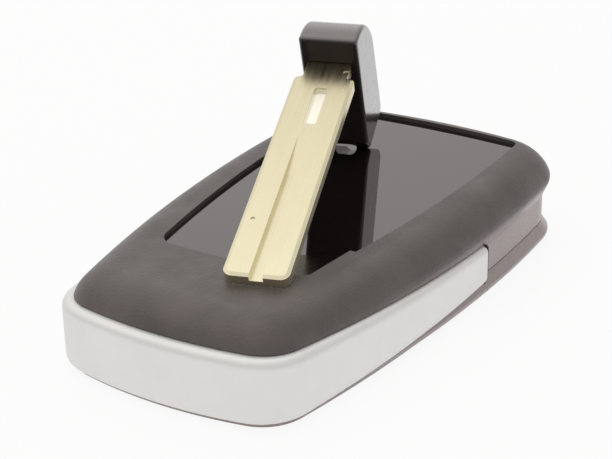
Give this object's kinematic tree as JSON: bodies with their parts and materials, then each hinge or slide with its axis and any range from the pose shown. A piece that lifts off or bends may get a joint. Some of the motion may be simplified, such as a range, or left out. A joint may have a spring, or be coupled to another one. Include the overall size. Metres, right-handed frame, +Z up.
{
  "type": "smart key remote",
  "caption": "Oblong car remote lying on its buttons, glossy recessed panel up, silver trim round one end, with its emergency key taken out and stood on it.",
  "frame": {"origin": "on the surface that it lies on, under the middle of the case", "axes": "+Z up from the button face to the panel, +Y from the silver end to the end that takes the key"},
  "size_m": [0.0428, 0.0753, 0.0321],
  "materials": {
    "shell": "fine grained dark warm grey, satin",
    "panel": "black, polished",
    "trim": "satin silver",
    "buttons": "satin",
    "rubber": "dull",
    "switch_metal": "stamped sheet",
    "light_guide": "clear red",
    "lamp": "moulded",
    "board": "green solder mask",
    "chip": "moulded black",
    "can": "pressed can",
    "winding": "lacquered copper winding on a dark core",
    "cell": "rolled steel can",
    "contact": "spring sheet, plated",
    "inner_plastic": "moulded, fine texture",
    "spring_wire": "drawn wire",
    "blade": "pale, milled and lightly polished",
    "head": "dark brown black, semi-gloss",
    "pin": "rolled spring pin"
  },
  "bodies": {
    "case": {"back_cover": "shell", "front_cover": "shell", "back_panel": "panel", "trim_band": "trim", "button_pad": "rubber", "case_seal": "rubber", "lock_switch": "switch_metal", "unlock_switch": "switch_metal", "boot_switch": "switch_metal", "led_window": "light_guide", "status_led": "lamp", "circuit_board": "board", "controller_chip": "chip", "radio_chip": "chip", "transponder": "chip", "crystal": "can", "antenna_coil": "winding", "battery": "cell", "battery_contact_plus": "contact", "battery_contact_minus": "contact", "inner_case": "inner_plastic", "latch_spring": "spring_wire", "key_blade": "blade", "key_head": "head", "key_pin": "pin"},
    "lock_button": {"lock_button": "buttons"},
    "unlock_button": {"unlock_button": "buttons"},
    "boot_button": {"boot_button": "buttons"},
    "release_latch": {"release_latch": "inner_plastic"}
  },
  "joints": [
    {"name": "lock_press", "type": "slide", "parent": "case", "child": "lock_button", "axis": [0, 0, 1], "range_m": [0, 0.0004], "stiffness_N_per_m": 2500},
    {"name": "unlock_press", "type": "slide", "parent": "case", "child": "unlock_button", "axis": [0, 0, 1], "range_m": [0, 0.0004], "stiffness_N_per_m": 2500},
    {"name": "boot_press", "type": "slide", "parent": "case", "child": "boot_button", "axis": [0, 0, 1], "range_m": [0, 0.0004], "stiffness_N_per_m": 2500},
    {"name": "latch_slide", "type": "slide", "parent": "case", "child": "release_latch", "axis": [1, 0, 0], "range_m": [0, 0.0014], "stiffness_N_per_m": 400, "deforming": ["latch_spring"]}
  ]
}
